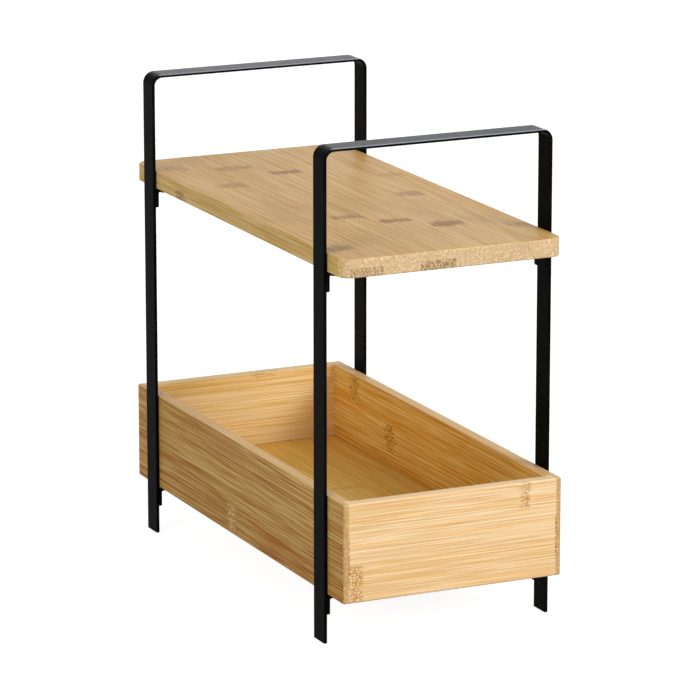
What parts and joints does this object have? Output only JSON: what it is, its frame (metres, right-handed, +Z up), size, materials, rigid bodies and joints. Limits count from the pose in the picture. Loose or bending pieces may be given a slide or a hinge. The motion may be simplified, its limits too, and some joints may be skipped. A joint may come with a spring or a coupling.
{
  "type": "countertop shelf",
  "caption": "Tiered countertop shelf: bent flat-steel frames carry a laminated bamboo board above an open bamboo drawer that slides endways on angle brackets.",
  "frame": {"origin": "centre of the footprint, on the counter that the legs stand on", "axes": "+Z up, +Y along the length towards the rear end, +X towards the right side"},
  "size_m": [0.15, 0.317, 0.3005],
  "materials": {
    "black_powder_coat": "satin black powder coat",
    "bamboo": "satin clear lacquer over laminated bamboo",
    "screw_steel": "black zinc plated"
  },
  "bodies": {
    "shelf": {"front_frame": "black_powder_coat", "rear_frame": "black_powder_coat", "front_left_board_bracket": "black_powder_coat", "front_right_board_bracket": "black_powder_coat", "rear_left_board_bracket": "black_powder_coat", "rear_right_board_bracket": "black_powder_coat", "front_left_drawer_bracket": "black_powder_coat", "front_right_drawer_bracket": "black_powder_coat", "rear_left_drawer_bracket": "black_powder_coat", "rear_right_drawer_bracket": "black_powder_coat", "board": "bamboo", "front_left_board_screw": "screw_steel", "front_right_board_screw": "screw_steel", "rear_left_board_screw": "screw_steel", "rear_right_board_screw": "screw_steel"},
    "drawer": {"drawer_left_side": "bamboo", "drawer_right_side": "bamboo", "drawer_front_end": "bamboo", "drawer_rear_end": "bamboo", "drawer_bottom": "bamboo"}
  },
  "joints": [
    {"name": "drawer_slide", "type": "slide", "parent": "shelf", "child": "drawer", "axis": [0, -1, 0], "range_m": [-0.033, 0.033]}
  ]
}
